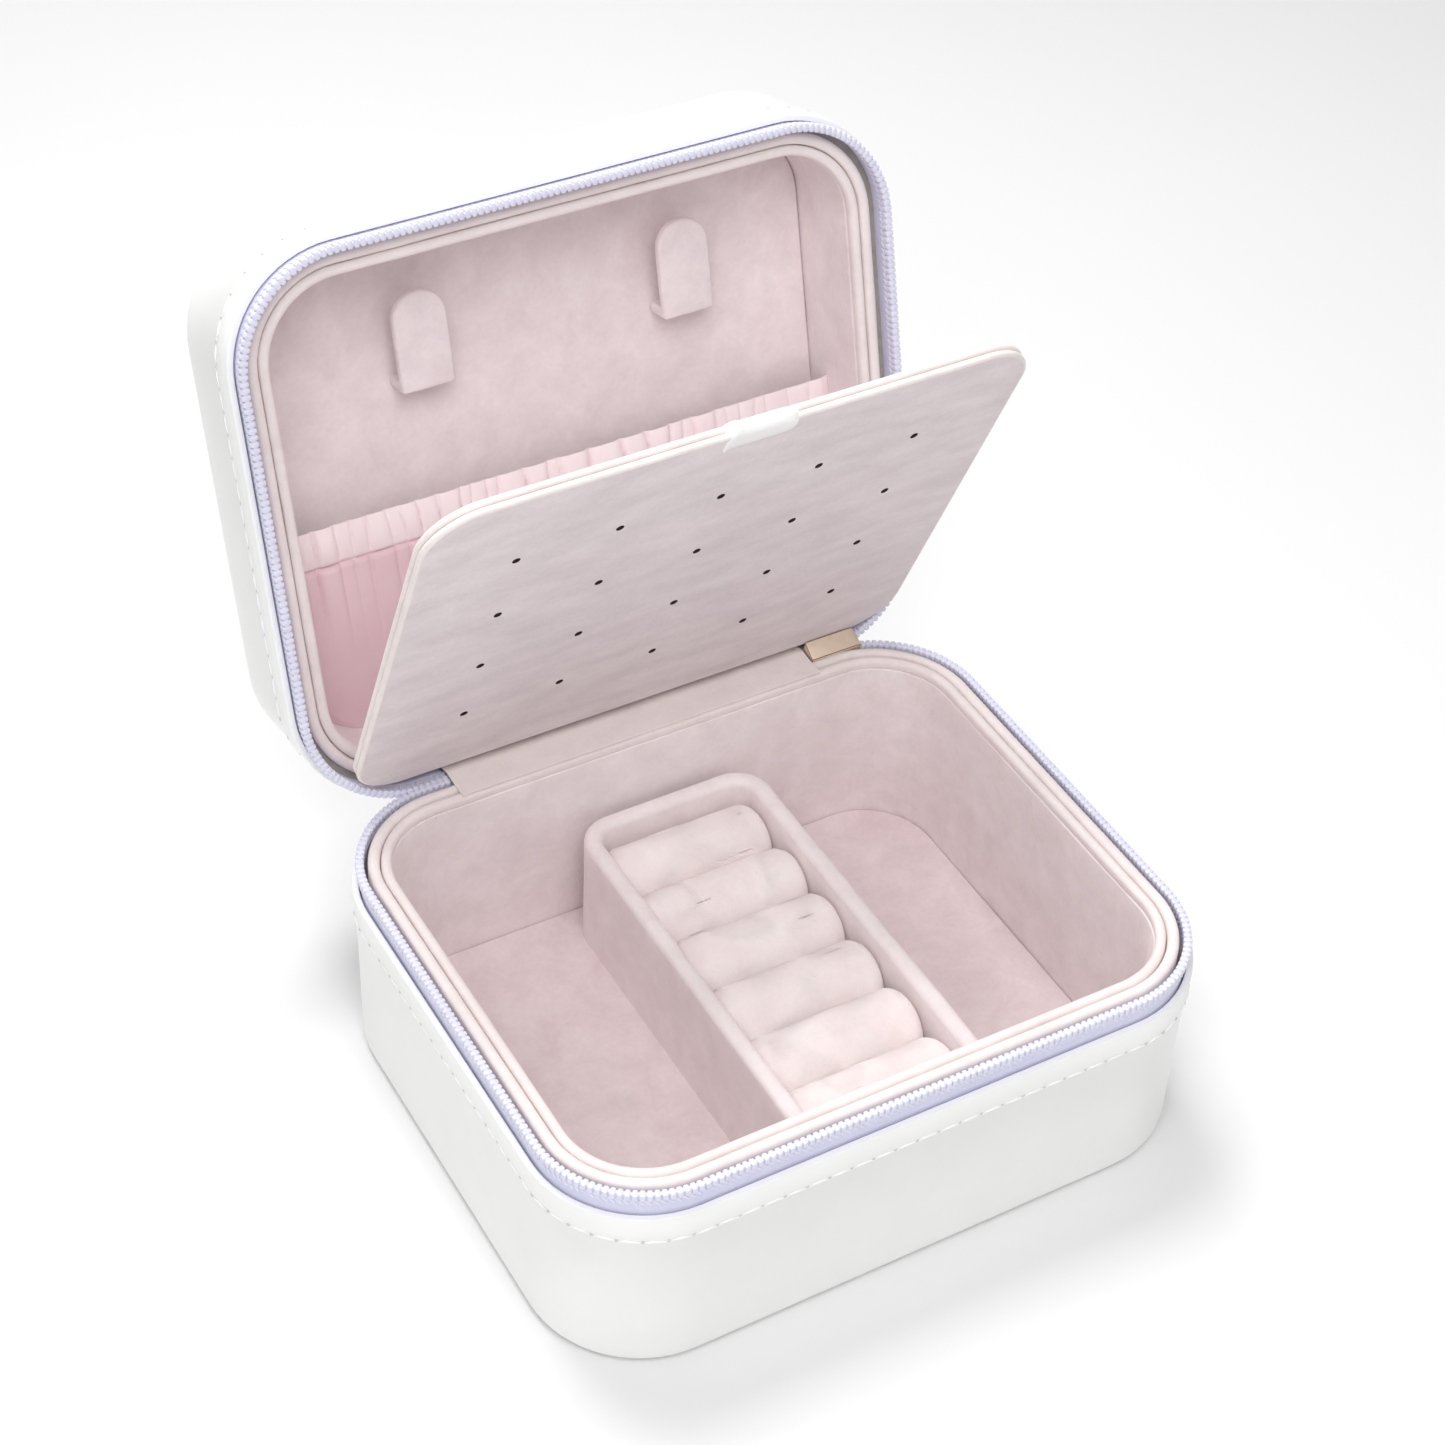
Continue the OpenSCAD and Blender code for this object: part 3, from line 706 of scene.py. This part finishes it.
# The rolls' paler copy of the velvet: their paleness is painted light
roll_velvet = velvet("roll_blush_velvet", "#FEF6F5", "#F8ECEB")
for i in range(6):
    name = f"ring_roll_{i + 1}"
    roll_low, roll_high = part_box(name)
    middle, length = (roll_low + roll_high) / 2, roll_high.x - roll_low.x
    radius = (roll_high.z - roll_low.z) / 2
    roll = added(name + "_velvet", (1, 1, 1), bpy.ops.mesh.primitive_cylinder_add, vertices=144,
                 radius=radius, depth=length, location=middle, rotation=(0, math.pi / 2, 0))
    pick(roll, "EDGE", lambda co: abs(abs(co.x - middle.x) - length / 2) < NEAR)
    bpy.ops.mesh.bevel(affect="EDGES", offset=ROLL_END_ROUND, segments=6, profile=0.5)
    for step in range(-3, 4):
        cut((middle.x + step * ROLL_CUT_PITCH, 0, 0), (1, 0, 0))
    softened(roll, 0.5 * MM, 13 * MM)
    settle(roll, roll_velvet, "base", "roll_velvet", name)


# ---- Lid lining ----
# The lid is lined like the base: a soft band, a roll, a padded wall and a flat velvet panel
# inside the lid's top, whose edge is tucked in against the wall.

LIP_SHUT = shut_box("lid_lip")
LID_RIM_Z = LIP_SHUT[0].z
LID_LIP_OUT = LIP_SHUT[0].x - COVER_LOW.x
LID_LINING_OUT = shut_box("lid_lining_wall")[0].x - COVER_LOW.x
PANEL_SHUT = shut_box("lid_back_panel")
LID_ROOM_OUT = PANEL_SHUT[0].x - COVER_LOW.x

# The lid's copy of the velvet: its tone is painted light and shade
lid_velvet = velvet("lid_blush_velvet", "#F4E9EA", "#E6D9DB")
lid_band = softened(ring("lid_rim_band", LID_LIP_OUT + SEAM, LID_LINING_OUT - SEAM, LID_RIM_Z,
                         LIP_SHUT[1].z, round_low=BAND_ROUND), *BAND_SWELL)
lid_roll = softened(ring("lid_rim_roll", LID_LINING_OUT + SEAM, LID_ROOM_OUT - 0.1 * MM,
                         LID_RIM_Z + 0.1 * MM, LID_RIM_Z + ROLL_HEIGHT,
                         round_low=ROLL_TOP_ROUND, round_high=ROLL_ROOT_ROUND), *ROLL_SWELL)
lid_wall = softened(ring("lid_lining", LID_LINING_OUT, LID_ROOM_OUT,
                         LID_RIM_Z + ROLL_HEIGHT - 0.4 * MM, PANEL_SHUT[1].z,
                         round_low=LINING_ROUND, levels=4), *LINING_SWELL)
lid_panel = pad("lid_panel", LID_ROOM_OUT + 0.1 * MM, PANEL_SHUT[0].z, PANEL_SHUT[1].z,
                -0.8 * MM)
for piece, material, fill, nodes in ((lid_band, rim_velvet, 0.8, ("lid_lip",)),
                                     (lid_roll, rim_velvet, 0.9, ()),
                                     (lid_wall, lid_velvet, 0.7, ("lid_lining_wall",)),
                                     (lid_panel, lid_velvet, 0.4, ("lid_back_panel",))):
    piece.data.transform(LID_OPEN)
    settle(piece, material, "lid", "velvet", *nodes)


# ---- Necklace hooks ----
# Two stiff tabs covered in the lining's velvet, each round at its free upper end and standing
# off the lid's panel on a root at its lower end, so that a chain hangs behind it.

HOOK_THICK, HOOK_ROOT = 2.4 * MM, 2.6 * MM
HOOK_END_ROUND, HOOK_EDGE_ROUND = 6.3 * MM, 0.75 * MM
for side in ("left", "right"):
    hook_low, hook_high = shut_box("necklace_hook_" + side)
    middle = (hook_low + hook_high) / 2
    hook = added("necklace_hook_" + side + "_velvet",
                 (hook_high.x - hook_low.x, hook_high.y - hook_low.y, 1),
                 bpy.ops.mesh.primitive_plane_add, size=1,
                 location=(middle.x, middle.y, hook_low.z))
    pick(hook, "VERT", lambda co: co.y < middle.y)
    bpy.ops.mesh.bevel(affect="VERTICES", offset=HOOK_END_ROUND, segments=10, profile=0.5)
    drawn_out(HOOK_THICK)
    cut((0, hook_high.y - HOOK_ROOT, 0), (0, 1, 0))
    pick(hook, "FACE", lambda centre, normal: centre.y > hook_high.y - HOOK_ROOT
         and centre.z > hook_low.z + HOOK_THICK - NEAR)
    bpy.ops.mesh.extrude_region_move(TRANSFORM_OT_translate={
        "value": (0, 0, hook_high.z - hook_low.z - HOOK_THICK)})
    faced_out(hook)
    modified(hook, "BEVEL", width=HOOK_EDGE_ROUND, segments=3, limit_method="ANGLE",
             angle_limit=math.radians(40))
    hook.data.transform(LID_OPEN)
    settle(hook, lid_velvet, "lid", "velvet", "necklace_hook_" + side)


# ---- Gathered pocket ----
# Thin satin sewn into the lid's lower corners. Its mouth is a casing round an elastic, which
# gathers it into short upright puffs, tight at the left and nearly smooth at the right.

POCKET_HIGH = shut_box("pocket_panel")[1]
MOUTH_Y = shut_box("pocket_elastic")[0].y
CASING = 9.5 * MM
CASING_PUFF, POCKET_PUFF, POCKET_WAVE = 2.9 * MM, 2.4 * MM, 1.6 * MM
PUFF_WIDTH = 7 * MM
POCKET_HALF = WIDTH / 2 - LID_ROOM_OUT
POCKET_CORNER = CORNER - LID_ROOM_OUT

gathers = random.Random(11)
creases = [-POCKET_HALF]
while creases[-1] < POCKET_HALF:
    along = (creases[-1] + POCKET_HALF) / (2 * POCKET_HALF)
    creases.append(creases[-1] + gathers.uniform(2.4, 5.2 + 6 * along) * MM)
leans = [gathers.uniform(-1.3, 1.3) * MM for _ in creases]
fulls = [gathers.uniform(0.55, 1.0) for _ in creases]


def puff(x, drop, strength):
    """How far the cloth swells between the two gathers beside x, `drop` below the mouth."""
    places = [place + lean * drop / CASING for place, lean in zip(creases, leans)]
    i = max(k for k, place in enumerate(places) if place <= x or k == 0)
    if i + 1 >= len(places):
        return 0.0
    span = places[i + 1] - places[i]
    share = min(max((x - places[i]) / span, 0.0), 1.0)
    swell = (1 - (2 * share - 1) ** 4) ** 0.8
    return fulls[i] * strength * min(span / PUFF_WIDTH, 1.2) * swell


pocket = added("gathered_pocket", (1, 1, 1), bpy.ops.mesh.primitive_grid_add,
               x_subdivisions=420, y_subdivisions=84, size=2, location=(0, 0, 0))
for vertex in pocket.data.vertices:
    across, down = vertex.co.x, (vertex.co.y + 1) / 2
    drop = (POCKET_HIGH.y - MOUTH_Y) * down ** 1.25
    y = MOUTH_Y + drop
    round_y = POCKET_HIGH.y - POCKET_CORNER
    half = POCKET_HALF
    if y > round_y:
        half += math.sqrt(max(POCKET_CORNER ** 2 - (y - round_y) ** 2, 0)) - POCKET_CORNER
    x = across * (half - 0.2 * MM)
    side = min(1.0, (1 - abs(across)) / 0.03)
    fade = 1.0 - 0.75 * max(0.0, min(1.0, (x / POCKET_HALF - 0.35) / 0.5))
    if drop < CASING:
        lift = puff(x, drop, CASING_PUFF) * fade
        lift *= 0.35 + 0.65 * math.sin(math.pi * min(1.0, (drop + 1.2 * MM) / (CASING + MM)))
        lift += 0.5 * MM
        y -= 0.35 * MM * puff(x, 0, 1.0) * fade * max(0.0, 1 - drop / (2 * MM))
    else:
        deep = (drop - CASING) / (POCKET_HIGH.y - MOUTH_Y - CASING)
        lift = puff(x, CASING, POCKET_PUFF) * fade * max(0.0, 1 - deep * 1.9)
        wave = 0.5 + 0.5 * math.sin(x / (5.2 * MM) + 2.2 * math.sin(x / (17 * MM)))
        lift += POCKET_WAVE * wave * math.sin(math.pi * min(1.0, deep)) * (0.4 + 0.6 * fade)
    seam = math.exp(-((drop - CASING) / (0.45 * MM)) ** 2)
    lift = lift * side * (1 - 0.8 * seam) - 0.25 * MM * seam
    vertex.co = (x, y, POCKET_HIGH.z - 0.4 * MM - lift)
modified(pocket, "SOLIDIFY", thickness=0.35 * MM, offset=0)

# Satin-faced polyester: long floats give it a soft gloss. The pocket below the casing is given
# a deeper pink than the casing, which is painted shade.
def satin(name, tone, shade):
    material = new_material(name)
    place = node(material, "ShaderNodeTexCoord")
    drift = node(material, "ShaderNodeTexNoise",
                 {"Vector": place.outputs["Object"], "Scale": 90.0, "Detail": 3.0})
    weave = node(material, "ShaderNodeTexNoise",
                 {"Vector": place.outputs["Object"], "Scale": 1600.0})
    hue = node(material, "ShaderNodeMix",
               {0: drift.outputs["Fac"], 6: colour(shade), 7: colour(tone)}, data_type="RGBA")
    bump = node(material, "ShaderNodeBump",
                {"Height": weave.outputs["Fac"], "Strength": 0.15, "Distance": 0.1 * MM})
    return shaded(material, Base_Color=hue.outputs[2], Roughness=0.5, Specular_IOR_Level=0.3,
                  Normal=bump.outputs["Normal"], Sheen_Weight=0.25, Sheen_Roughness=0.3)


for material in (satin("casing_blush_satin", "#FFF4F4", "#F9E6E8"),
                 satin("pocket_satin_painted_shade", "#EFD4D9", "#E1C2C8")):
    pocket.data.materials.append(material)
# Faces below the casing take the deeper pink, as painted shade
for face in pocket.data.polygons:
    face.material_index = int(face.center.y > MOUTH_Y + CASING)
pocket.data.transform(LID_OPEN)
settle(pocket, None, "lid", "satin", "pocket_panel", "pocket_elastic", angle=70)


# ---- Hinge cloth and spine ----
# The two halves are joined by a strip of the lining's velvet inside and a strip of the leather
# outside. Both bend across the hinge line and have no pin.

STRIP_HALF = 47.2 * MM
CLOTH_THICK, SPINE_THICK = 0.4 * MM, 1.1 * MM
# Each strip's section in mm, as y and z with the case shut: its base half, then its lid half
CLOTH_BASE = ((58.2, 54.72), (61.0, 54.72), (63.4, 54.7), (65.0, 54.85))
CLOTH_LID = ((63.35, 55.6), (63.35, 57.6), (63.35, 59.6))
SPINE_BASE = ((65.9, 46.4), (65.9, 48.6), (66.0, 50.4), (66.45, 51.35))
SPINE_LID = ((65.9, 57.6), (65.9, 59.2), (65.9, 61.2))


def strip(name, line, thickness, rows=36):
    """A strip along the hinge whose section follows a smooth line through (y, z) points."""
    sheet = added(name, (STRIP_HALF, 1, 1), bpy.ops.mesh.primitive_grid_add, x_subdivisions=40,
                  y_subdivisions=rows, size=2, location=(0, 0, 0))
    ends = [line[0] * 2 - line[1], *line, line[-1] * 2 - line[-2]]
    for vertex in sheet.data.vertices:
        at = (vertex.co.y + 1) / 2 * (len(line) - 1)
        i = min(int(at), len(line) - 2)
        t = at - i
        a, b, c, d = ends[i:i + 4]
        point = 0.5 * ((2 * b) + (c - a) * t + (2 * a - 5 * b + 4 * c - d) * t ** 2
                       + (3 * b - a - 3 * c + d) * t ** 3)
        vertex.co = (vertex.co.x, point.x, point.y)
    modified(sheet, "SOLIDIFY", thickness=thickness, offset=0)
    faced_out(sheet)
    only(sheet)
    return sheet


def opened(matrix, y, z):
    """A point of a shut piece's section, in mm, where the open piece has it."""
    point = matrix @ Vector((0, y * MM, z * MM))
    return Vector((point.y, point.z))


hinge_cloth = strip("hinge_cloth", [Vector(point) * MM for point in CLOTH_BASE]
                    + [opened(LID_OPEN, *point) for point in CLOTH_LID], CLOTH_THICK)
settle(hinge_cloth, rim_velvet, None, "velvet", "hinge_cloth_base", "hinge_cloth_lid")
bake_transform(hinge_cloth)

spine = strip("leather_spine", [Vector(point) * MM for point in SPINE_BASE]
              + [opened(LID_OPEN, *point) for point in SPINE_LID], SPINE_THICK)
settle(spine, white_leather, None, "white_leather", "spine_base", "spine_lid")
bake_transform(spine)


# ---- Earring board ----
# Two layers of foam-backed velvet with a stiff card between them, each with its edge rolled
# over, so that a dark groove runs round between two pale beads. Posts go through 20 holes.

BOARD_HINGE = Vector(JOINTS["board_hinge"]["pos_m"])
BOARD_LEAN = math.radians(-JOINTS["board_hinge"]["range_deg"][0])
BOARD_OPEN = (Matrix.Translation(BOARD_HINGE) @ Matrix.Rotation(BOARD_LEAN, 4, "X")
              @ Matrix.Translation(-BOARD_HINGE) @ LID_OPEN)
BOARD_CORNER, BEAD_ROUND = 13 * MM, 0.72 * MM
HOLE, HOLE_ROWS, HOLE_COLUMNS = 0.95 * MM, 4, 5
LAYER_GAP = 0.05 * MM
SIDE_MARGIN, BACK_MARGIN, FRONT_MARGIN = 23.5 * MM, 27 * MM, 25 * MM

board_low, board_high = shut_box("board_front", BOARD_OPEN)
layer_thick = board_high.z - board_low.z

# The punched hole shows the card and glue inside the board, darkened to near black as painted
# shade
hole_card_shade = mottled("punched_brown_card", "#4A3C3B", "#2E2525", 1200.0, Roughness=0.95)

# The board's and the beads' copies of the velvet: their tones are painted light and shade
board_velvet = velvet("brushed_board_velvet", "#E8DFE1", "#D6CCCF",
                      brushed=(LID_ANGLE - BOARD_LEAN, 0.0, math.radians(20)))
bead_velvet = velvet("board_bead_velvet", "#F1E9E6", "#E6DCD9")

step_x = (board_high.x - board_low.x - 2 * SIDE_MARGIN) / (HOLE_COLUMNS - 1)
step_y = (board_high.y - board_low.y - BACK_MARGIN - FRONT_MARGIN) / (HOLE_ROWS - 1)
holes = [Vector((board_low.x + SIDE_MARGIN + i * step_x, board_high.y - BACK_MARGIN - j * step_y,
                 board_high.z)) for i in range(HOLE_COLUMNS) for j in range(HOLE_ROWS)]
for name, low_z in (("board_front", board_low.z), ("board_back", board_high.z)):
    layer = rounded_plate(name + "_velvet", board_high.x - board_low.x,
                          board_high.y - board_low.y, BOARD_CORNER,
                          (0, (board_low.y + board_high.y) / 2, low_z + LAYER_GAP))
    drawn_out(layer_thick - 2 * LAYER_GAP)
    modified(layer, "BEVEL", width=BEAD_ROUND, segments=4, limit_method="ANGLE",
             angle_limit=math.radians(50))
    faced_out(layer)
    punch = added(name + "_punch", (1, 1, 1), bpy.ops.mesh.primitive_cylinder_add, vertices=20,
                  radius=HOLE, depth=10 * MM, location=(0, 0, 0))
    punch = repeat(punch, [Matrix.Translation(place) for place in holes])
    modified(layer, "BOOLEAN", operation="DIFFERENCE", object=punch, solver="EXACT")
    bpy.data.objects.remove(punch)
    for material in (bead_velvet, board_velvet, hole_card_shade):
        layer.data.materials.append(material)
    # Flat faces take the board's velvet, faces round each hole the hole's painted shade, and the
    # rest the beads' velvet
    for face in layer.data.polygons:
        near = min((face.center.xy - place.xy).length for place in holes)
        if abs(face.normal.z) > 0.99:
            face.material_index = 1
        elif near < 1.5 * MM:
            face.material_index = 2
    layer.data.transform(BOARD_OPEN)
    settle(layer, None, "board", "velvet", name)

# A thin strip of the same velvet joins the board's lower edge to the lid's rim
board_line = [opened(LID_OPEN, 62.9, 58.62), opened(LID_OPEN, 61.9, 58.6),
              opened(BOARD_OPEN, 60.1, 58.5), opened(BOARD_OPEN, 58.6, 58.5)]
board_cloth = strip("board_hinge_cloth", board_line, 0.25 * MM, rows=16)
settle(board_cloth, rim_velvet, None, "velvet")
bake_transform(board_cloth)

# Glossy white leather tab, folded over the board's upper edge and glued between the layers
TAB_LOW, TAB_HIGH = shut_box("board_tab", BOARD_OPEN)
TAB_FOLD, TAB_SLACK, TAB_LEATHER = 1.5 * MM, 0.25 * MM, 0.4 * MM
TAB_CUTS = (0.6, 1.3, 2.0, 2.7, 3.4, 6, 12)  # mm from its left end
tab_middle = (TAB_LOW + TAB_HIGH) / 2
tab = added("board_pull_tab", TAB_HIGH - TAB_LOW - Vector((0, 0, TAB_SLACK)),
            bpy.ops.mesh.primitive_cube_add, size=1, location=tab_middle)
pick(tab, "EDGE", lambda co: co.y < TAB_LOW.y + NEAR)
bpy.ops.mesh.bevel(affect="EDGES", offset=TAB_FOLD, segments=5, profile=0.5)
pick(tab, "FACE", lambda centre, normal: normal.y > 0.9 or abs(normal.x) > 0.9)
bpy.ops.mesh.delete(type="FACE")
for across in TAB_CUTS:
    cut((TAB_LOW.x + across * MM, 0, 0), (1, 0, 0))
# A pinch stands up near its left end, and its lower corner there is tucked in
pick(tab, "VERT", lambda co: TAB_LOW.x + 1.1 * MM < co.x < TAB_LOW.x + 2.9 * MM
     and co.y < TAB_LOW.y + 2.5 * MM)
bpy.ops.transform.translate(value=(0, -0.6 * MM, 0))
pick(tab, "VERT", lambda co: co.x < TAB_LOW.x + 0.9 * MM and co.z < tab_middle.z)
bpy.ops.transform.translate(value=(-0.4 * MM, 1.2 * MM, 0))
modified(tab, "SOLIDIFY", thickness=TAB_LEATHER, offset=0)
modified(tab, "SUBSURF", levels=1, render_levels=1)
gloss_leather = artificial_leather("glossy_tab_leather", "#FFFFFF", "#F8F8F8", 0.22)
tab.data.transform(BOARD_OPEN)
settle(tab, gloss_leather, "board", "white_leather", "board_tab", angle=60)


# ---- Slider and pull ----
# Die-cast zinc in a champagne lacquer, with a dark brown along its edges that is painted shade.
# The slider waits at the hinge's right end of the zip, and its pull hangs behind the case.

SLIDER_LOW, SLIDER_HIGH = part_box("zip_slider")
SHIELD_END_ROUND, SHIELD_EDGE_ROUND = 2.0 * MM, 0.55 * MM
SHIELD_FOOT = 54.6 * MM
# The shield's section in mm, as y and z, by which side it is on: front or back, low or high
SHIELD = {(-1, -1): (62.6, 54.3), (-1, 1): (62.5, 55.1),
          (1, 1): (66.3, 57.7), (1, -1): (67.2, 54.0)}

# Lacquered zinc: smooth, with a satin gloss and a faint cast mottle
def lacquer(name, tone, shade):
    material = new_material(name)
    place = node(material, "ShaderNodeTexCoord")
    cast = node(material, "ShaderNodeTexNoise",
                {"Vector": place.outputs["Object"], "Scale": 500.0, "Detail": 3.0})
    hue = node(material, "ShaderNodeMix",
               {0: cast.outputs["Fac"], 6: colour(shade), 7: colour(tone)}, data_type="RGBA")
    bump = node(material, "ShaderNodeBump",
                {"Height": cast.outputs["Fac"], "Strength": 0.08, "Distance": 0.1 * MM})
    return shaded(material, Base_Color=hue.outputs[2], Metallic=0.35, Roughness=0.38,
                  Normal=bump.outputs["Normal"], Coat_Weight=0.25, Coat_Roughness=0.2)


champagne = lacquer("champagne_lacquered_zinc", "#EBD8C4", "#DCC6AF")
# A dark brown for the slider's rounded edges: painted shade along them
edge_shade_lacquer = lacquer("edge_painted_shade_lacquer", "#6B5040", "#573F31")

# The slider's section from front to back: its inner plate, a sloping shield over both halves
# of the zip's end, and its outer plate
slider = added("zip_slider_body", (SLIDER_HIGH.x - SLIDER_LOW.x, 1, 1),
               bpy.ops.mesh.primitive_cube_add, size=1,
               location=((SLIDER_LOW.x + SLIDER_HIGH.x) / 2, 0, 0))
for vertex in slider.data.vertices:
    y, z = SHIELD[(1 if vertex.co.y > 0 else -1, 1 if vertex.co.z > 0 else -1)]
    vertex.co = (vertex.co.x, y * MM, z * MM)
for material in (champagne, edge_shade_lacquer):
    slider.data.materials.append(material)
faced_out(slider)
pick(slider, "EDGE", lambda co: co.x > SLIDER_HIGH.x - NEAR and co.z > SHIELD_FOOT)
bpy.ops.mesh.bevel(affect="EDGES", offset=SHIELD_END_ROUND, segments=6, profile=0.5)
# Its rounded edges take the dark brown, as painted shade
modified(slider, "BEVEL", width=SHIELD_EDGE_ROUND, segments=3, limit_method="ANGLE",
         angle_limit=math.radians(35), material=1)
settle(slider, None, "base", "champagne_metal")


# ---- Hidden stiffeners ----
# Grey board and padding foam between the leather and the velvet. They only show where a seam
# gapes, so they keep their plain shapes.

# Pressed waste-paper board, whose fibres show as a mottle of greys about 2 mm across
grey_board = mottled("recycled_grey_board", "#B4AEA5", "#8F8A83", 500.0, 5.0, Roughness=0.95)

# Open-cell polyurethane foam, with cells about 0.5 mm across
padding_foam = new_material("white_padding_foam")
foam_place = node(padding_foam, "ShaderNodeTexCoord")
foam_cells = node(padding_foam, "ShaderNodeTexVoronoi",
                  {"Vector": foam_place.outputs["Object"], "Scale": 1800.0})
foam_hue = node(padding_foam, "ShaderNodeMix",
                {0: foam_cells.outputs["Distance"], 6: colour("#E4E0D6"),
                 7: colour("#F3F1EA")}, data_type="RGBA")
shaded(padding_foam, Base_Color=foam_hue.outputs[2], Roughness=1.0)

for name, solid in frame["nodes"].items():
    finish = (grey_board if "_card_" in name else padding_foam if "_foam_wall" in name
              else roll_velvet if name == "ring_foam_base"
              else champagne if name in ("zip_slider", "zip_pull") else None)
    if finish:
        solid.data.materials.clear()
        solid.data.materials.append(finish)
